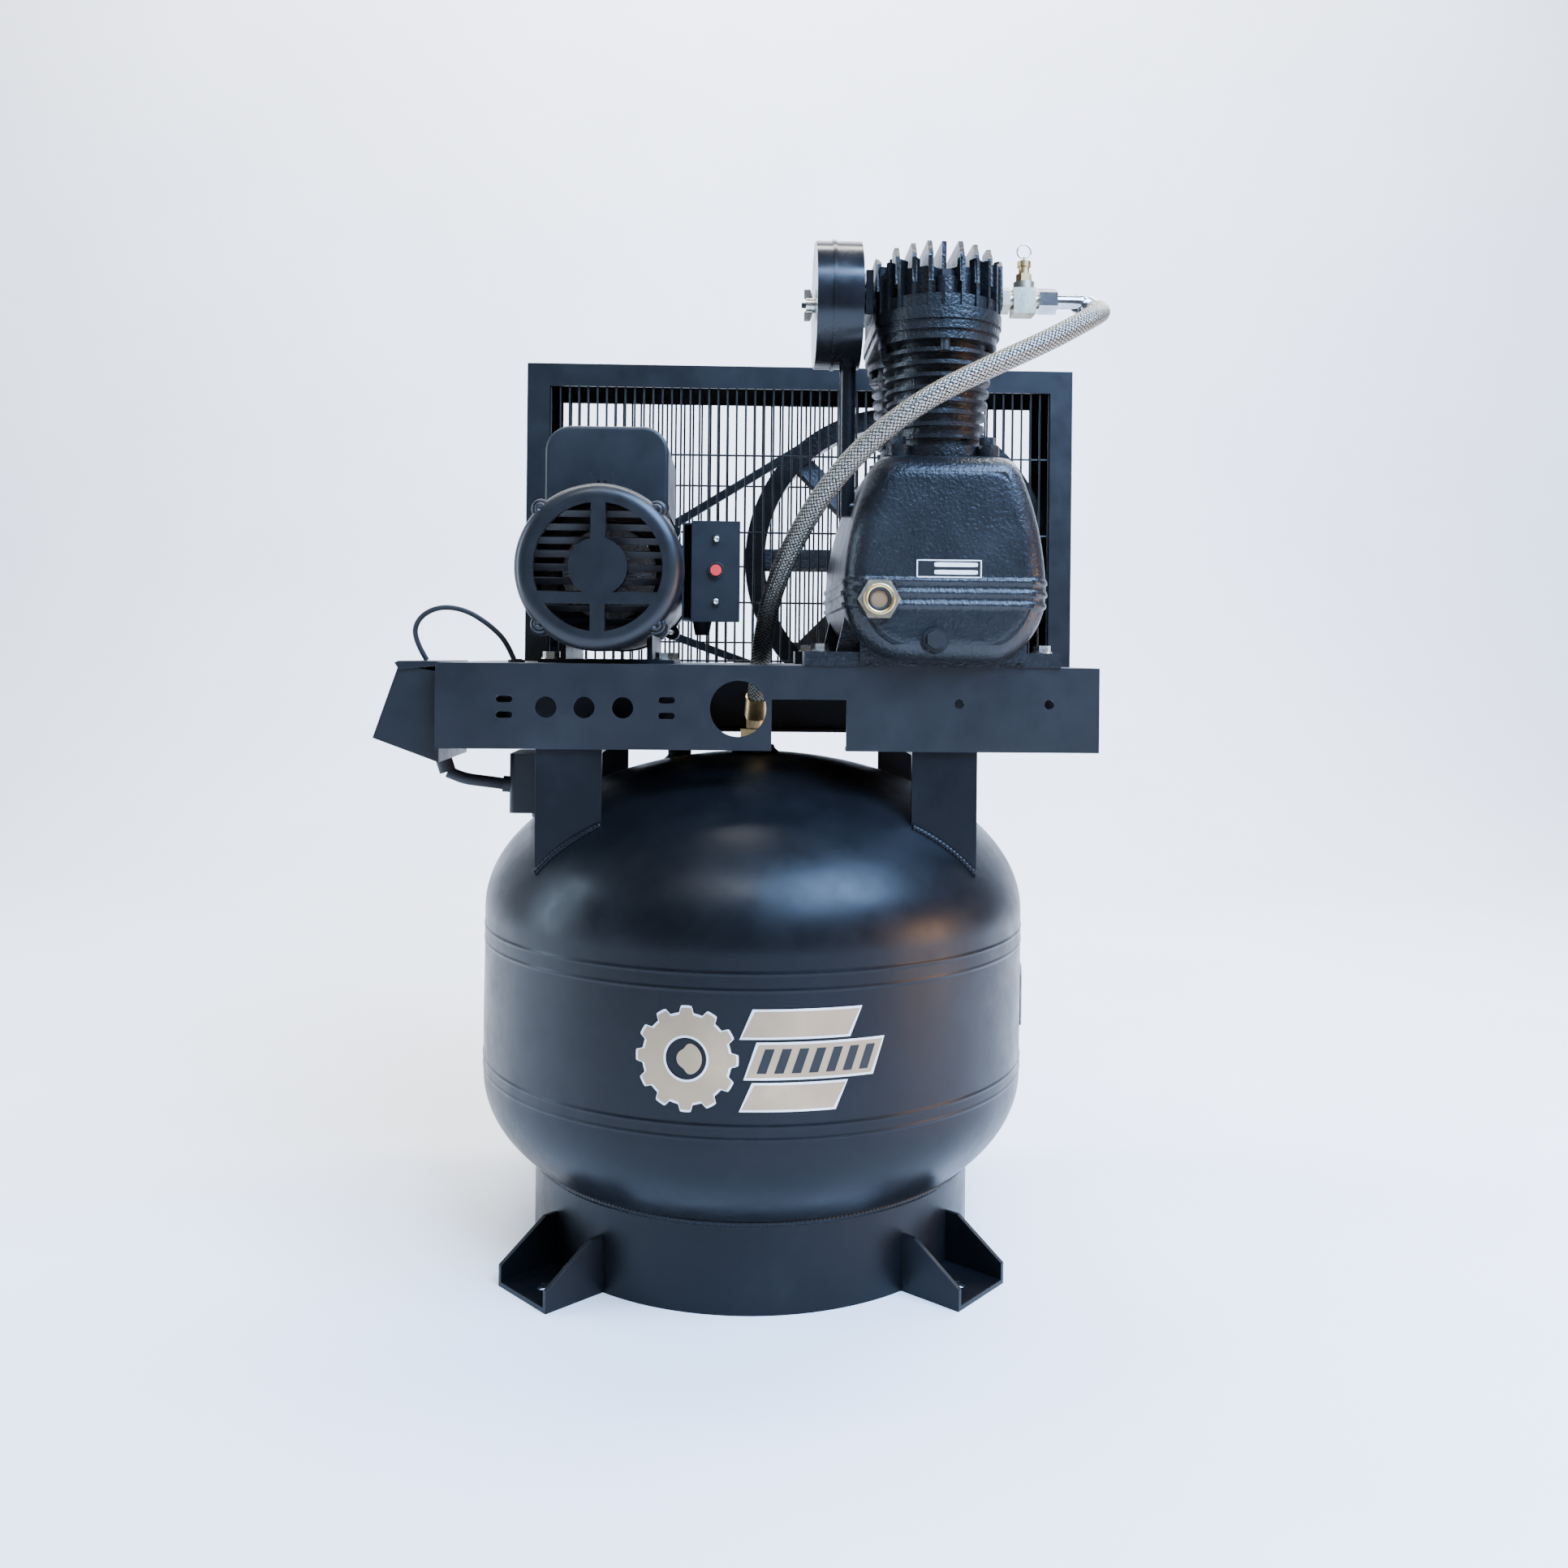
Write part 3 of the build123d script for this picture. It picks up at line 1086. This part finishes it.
def terminal_cover():
    """The box's front cover with two screws and the reset button's collar."""
    x0, x1 = BOX_X
    y = BOX_Y[0]
    shape = block(x0 + 10, x1 + 2, y - 2, y + 2, BOX_Z[0] - 2, BOX_Z[1] + 2)
    shape -= rod(MOTOR_R - 2 + TIP, 400, (MOTOR_X, -200, MOTOR_Z), Y_AXIS)
    for z in (704, 775):
        shape += rod(4, 2, (BUTTON_AT[0], y - 4, z), Y_AXIS)
    shape += rod(BUTTON_R + 3, 3, (BUTTON_AT[0], y - 5, BUTTON_AT[1]), Y_AXIS)
    return shape - rod(BUTTON_R + SLIDING, 20, (BUTTON_AT[0], y - 10, BUTTON_AT[1]), Y_AXIS)


def reset_button():
    """The overload's reset button, with a shoulder behind the cover."""
    y = BOX_Y[0]
    shape = rod(BUTTON_R, 16, (BUTTON_AT[0], y - 9, BUTTON_AT[1]), Y_AXIS)
    return shape + rod(BUTTON_R + 3, 2, (BUTTON_AT[0], y + 5, BUTTON_AT[1]), Y_AXIS)


# ---- sight glass, plugs, bolts ---------------------------------------------------------------
def sight_glass_bezel():
    """The brass hexagon screwed into the crankcase round the oil window."""
    x, z = SIGHT
    start = (x, SIGHT_FACE - 8, z)
    shape = along(start, Y_AXIS) * Rot(0, 0, 30) * extrude(RegularPolygon(38 / sqrt(3), 6), 8)
    shape += rod(17, 3, (x, SIGHT_FACE - 10.5, z), Y_AXIS) + rod(9, 16, (x, SIGHT_FACE, z), Y_AXIS)
    return shape - rod(13, 8, (x, SIGHT_FACE - 12, z), Y_AXIS)


def sight_glass_lens():
    """The round window in the bezel."""
    return rod(13, 4, (SIGHT[0], SIGHT_FACE - 8, SIGHT[1]), Y_AXIS)


def crankcase_drain_plug():
    """The hexagon-headed plug at the bottom of the crankcase's front."""
    x, z = DRAIN_PLUG
    shape = rod(12, 4, (x, DRAIN_FACE - 4, z), Y_AXIS) + rod(8, 26, (x, DRAIN_FACE, z), Y_AXIS)
    return shape + hexagon(17, 8, (x, DRAIN_FACE - 12, z), Y_AXIS)


def oil_fill_plug():
    """The filler plug on the crankcase's right side."""
    x = PUMP_X + 99
    shape = rod(8, 26, (x - 22, FILL[0], FILL[1]), X_AXIS) + rod(13, 8, (x + 2, FILL[0], FILL[1]), X_AXIS)
    return shape + rod(9, 6, (x + 10, FILL[0], FILL[1]), X_AXIS)


def mounting_bolts():
    """Pump and motor foot bolts with nuts, and the guard's bolts with their sleeves."""
    bolts = []
    for xs, ys, top in ((PUMP_BOLTS_X, PUMP_BOLTS_Y, FOOT_TOP), (MOTOR_BOLTS_X, MOTOR_BOLTS_Y, DECK_TOP + 4)):
        for x in xs:
            for y in ys:
                length = top - DECK_UNDER + 12
                bolt = hex_bolt(BOLT_R, length, (x, y, top), Z_AXIS)
                bolts.append(bolt + hexagon(16, 8, (x, y, DECK_UNDER - 8)))
    for x, sleeve in zip(GUARD_BOLTS_X, guard_spacers()):
        back = GUARD_Y0 + GUARD_SHEET
        bolt = rod(GUARD_BOLT_R, back - DECK_HALF_Y + 16, (x, DECK_HALF_Y - 12, GUARD_BOLT_LOW_Z), Y_AXIS)
        bolt += hexagon(10, 5, (x, back, GUARD_BOLT_LOW_Z), Y_AXIS)
        bolt += hexagon(10, 5, (x, DECK_HALF_Y - DECK_SHEET - 5, GUARD_BOLT_LOW_Z), Y_AXIS)
        bolts += [bolt, sleeve]
    return group(*bolts)


# ---- electrics and tank fittings -------------------------------------------------------------
STARTER_TILT = 20.0
STARTER_Y = (-160.0, -10.0)
SWITCH_AT = (-245.0, -20.0)
SWITCH_SIZE = (58.0, 76.0, 66.0)
SWITCH_Z = 470.0
GAUGE_AT = (-90.0, 150.0)


def starter_box():
    """The tilted starter housing hung on the platform's left end by a bent ear."""
    y0, y1 = STARTER_Y
    outline = [(DECK_X0 - TIP, 628), (-372, 635), (-398, 559), (DECK_X0 - TIP, 534)]
    shape = plate_xz(outline, y0, y1)
    lid = [(-376, 637), (-372, 639), (DECK_X0 - TIP, 639), (DECK_X0 - TIP, 634), (-371, 630)]
    shape += plate_xz(lid, y0 - 2, y1 + 2)
    first, second = STARTER_ROUTE[:2]
    lead = tuple(b - a for a, b in zip(first, second))
    return shape - rod(STARTER_R + HOLE, 10, first, lead)


def cable_grips():
    """Cord grips on the terminal box, the starter box, the switch and the deck."""
    x, y = GRIP
    box = frustum(8, 11, 16, (x, y, BOX_Z[0] - 16)) + rod(6.5, 6, (x, y, BOX_Z[0]))
    first = CONDUIT_ROUTE[0]
    last = CONDUIT_ROUTE[-1]
    starter = between(9, (first[0] - 9, first[1], first[2] + 28), first)
    starter -= starter_box() + conduit_tube()
    side = SWITCH_AT[0] - SWITCH_SIZE[0] / 2
    switch = between(9, last, (side + 4, last[1] + 1, last[2] - 1))
    switch -= pressure_switch() + conduit_tube()
    return group(box, starter.solids().sort_by(SortBy.VOLUME)[-1], switch, grommet())


def grommet():
    """The rubber ring where the starter cable goes down through the deck."""
    x, y = CABLE_HOLE
    ring = rod(CABLE_HOLE_R, 10, (x, y, DECK_TOP - 6)) + rod(CABLE_HOLE_R + 3, 3, (x, y, DECK_TOP + TIP))
    return ring - starter_tube()


def pressure_switch():
    """The pressure switch on its pipe, standing on the dome's shoulder."""
    x, y = SWITCH_AT
    wide, deep, high = SWITCH_SIZE
    shape = block(x - wide / 2, x + wide / 2, y - deep / 2, y + deep / 2, SWITCH_Z, SWITCH_Z + high)
    shape = fillet(shape.edges().filter_by(Axis.Z), 6)
    stem_low = min(dome_z(abs(x) - 4, TOP_DOME, TANK_HIGH) - 8, SWITCH_Z - 8)
    shape += rod(9, SWITCH_Z - stem_low, (x, y, stem_low))
    shape -= dome_body(TANK_R, TOP_DOME, TANK_HIGH, True)
    return shape - rod(4 + SLIDING, 8, (x + wide / 2 - 8 + TIP, y + 20, SWITCH_Z + 40), X_AXIS)


def switch_lever():
    """The on and off lever on the switch's inner side."""
    x = SWITCH_AT[0] + SWITCH_SIZE[0] / 2
    y = SWITCH_AT[1] + 20
    z = SWITCH_Z + 40
    shape = rod(4, 9, (x - 6, y, z), X_AXIS) + rod(6, 3, (x + SLIDING, y, z), X_AXIS)
    return shape + block(x + SLIDING, x + 3 + SLIDING, y - 2.5, y + 2.5, z - 2, z + 24)


def pressure_gauge():
    """A round gauge on a short stem behind the switch."""
    x, y = GAUGE_AT
    base = dome_z(sqrt(x**2 + y**2), TOP_DOME, TANK_HIGH) - 12
    shape = rod(6, 40, (x, y, base)) + hexagon(14, 10, (x, y, base + 24))
    shape += rod(25, 22, (x, y - 11, base + 64), Y_AXIS)
    return shape - dome_body(TANK_R, TOP_DOME, TANK_HIGH, True)


VALVE_Y = TANK_R + 14.0
OUTLET_BORE_R = 10.5


def outlet_valve():
    """The ball valve screwed into the shell's rear coupling, its mouth to the rear."""
    shape = rod(11, 30, (0, VALVE_Y - 16, OUTLET_Z), Y_AXIS)
    shape += hexagon(30, 14, (0, VALVE_Y, OUTLET_Z), Y_AXIS)
    shape += rod(16, 24, (0, VALVE_Y + 14, OUTLET_Z), Y_AXIS)
    shape += hexagon(30, 12, (0, VALVE_Y + 38, OUTLET_Z), Y_AXIS)
    shape += rod(7, 24, (0, VALVE_Y + 26, OUTLET_Z))
    shape -= rod(8, 40, (0, VALVE_Y + 10, OUTLET_Z), Y_AXIS)
    shape -= rod(OUTLET_BORE_R, 14, (0, VALVE_Y + 36, OUTLET_Z), Y_AXIS)
    return shape - rod(3 + SLIDING, 10, (0, VALVE_Y + 26, OUTLET_Z + 16))


def outlet_lever():
    """The quarter-turn lever, lying along the valve when it is open."""
    z = OUTLET_Z + 24 + SLIDING
    y = VALVE_Y + 26
    shape = rod(3, 8, (0, y, z - 6)) + rod(9, 3, (0, y, z))
    return shape + block(4, 92, y - 6, y + 6, z, z + 3)


def drain_cock():
    """The drain pipe from the tank's lowest point, through the skirt, to its cock."""
    end = SKIRT_R + 34
    shape = rod(DRAIN_PIPE_R, end - 4, (0, 0, DRAIN_Z), Y_AXIS)
    shape += rod(DRAIN_PIPE_R, 30, (0, 0, DRAIN_Z - 6)) + Pos(0, 0, DRAIN_Z) * Sphere(DRAIN_PIPE_R + 2)
    shape += rod(10, 26, (0, SKIRT_R + 12, DRAIN_Z), Y_AXIS) + rod(7, 14, (0, SKIRT_R + 25, DRAIN_Z))
    shape -= rod(2.5, 20, (0, end - 10, DRAIN_Z), Y_AXIS)
    return shape - rod(3 + SLIDING, 8, (0, SKIRT_R + 25, DRAIN_Z + 9))


def drain_handle():
    """The cock's tee handle."""
    z = DRAIN_Z + 14 + SLIDING
    y = SKIRT_R + 25
    return rod(3, 8, (0, y, z - 5)) + block(-16, 16, y - 3, y + 3, z, z + 6)


# ---- write every node ------------------------------------------------------------------------
def pistons_and_moving():
    """Nodes of the moving bodies."""
    down = CYLINDER_TOP - 1
    return {
        "crankshaft": crankshaft(),
        "flywheel": flywheel(),
        "motor_rotor": motor_rotor(),
        "motor_pulley": motor_pulley(),
        "piston_front": piston(CYLINDER_FRONT_Y, down),
        "piston_rear": piston(CYLINDER_BACK_Y, down - STROKE),
        "wing_nut": wing_nut(),
        "reset_button": reset_button(),
        "relief_ring_head": relief_ring(TEE_RELIEF),
        "relief_ring_tank": relief_ring(TANK_RELIEF),
        "switch_lever": switch_lever(),
        "outlet_lever": outlet_lever(),
        "drain_handle": drain_handle(),
    }


def tank_and_platform():
    """Nodes of the receiver, its base, the platform and the guard."""
    return {
        "tank_shell": tank_shell(),
        "tank_top_head": tank_top_head(),
        "tank_bottom_head": tank_bottom_head(),
        "base_ring": base_ring(),
        "foot_brackets": foot_brackets(),
        "platform": platform(),
        "platform_legs": group(platform_leg(-LEG_X), platform_leg(LEG_X)),
        "guard_frame": guard_frame(),
        "guard_grilles": guard_grilles(),
        "mounting_bolts": mounting_bolts(),
        "check_valve": check_valve(),
        "pressure_switch": pressure_switch(),
        "pressure_gauge": pressure_gauge(),
        "relief_valves": group(relief_valve(TEE_RELIEF), relief_valve(TANK_RELIEF)),
        "outlet_valve": outlet_valve(),
        "drain_cock": drain_cock(),
    }


def pump_nodes():
    """Nodes of the pump that stay still."""
    return {
        "crankcase": crankcase(),
        "bearing_carrier": bearing_carrier(),
        "ball_bearings": ball_bearings(),
        "cylinders": group(*[cylinder(y) for y in CYLINDERS_Y]),
        "valve_plate": valve_plate(),
        "cylinder_head": cylinder_head(),
        "head_bolts": head_bolts(),
        "filter_base": filter_base(),
        "filter_cover": filter_cover(),
        "breather_tube": breather_tube(),
        "discharge_tee": discharge_tee(),
        "hose_fittings": hose_fittings(),
        "discharge_hose": hose_tube(),
        "sight_glass_bezel": sight_glass_bezel(),
        "sight_glass_lens": sight_glass_lens(),
        "crankcase_drain_plug": crankcase_drain_plug(),
        "oil_fill_plug": oil_fill_plug(),
        "drive_belt": drive_belt(),
    }


def motor_nodes():
    """Nodes of the motor and the wiring that stay still."""
    return {
        "motor_frame": motor_frame(),
        "motor_front_bell": motor_front_bell(),
        "motor_rear_bell": motor_rear_bell(),
        "motor_louvre": motor_louvre(),
        "stator_core": stator_core(),
        "motor_bolts": motor_bolts(),
        "capacitor_cover": capacitor_cover(),
        "terminal_box": terminal_box(),
        "terminal_cover": terminal_cover(),
        "cable_grips": cable_grips(),
        "starter_box": starter_box(),
        "starter_cable": starter_tube(),
        "switch_conduit": conduit_tube(),
    }


os.makedirs("parts", exist_ok=True)
for nodes in (tank_and_platform(), pump_nodes(), motor_nodes(), pistons_and_moving()):
    for name, shape in nodes.items():
        save(name, shape)
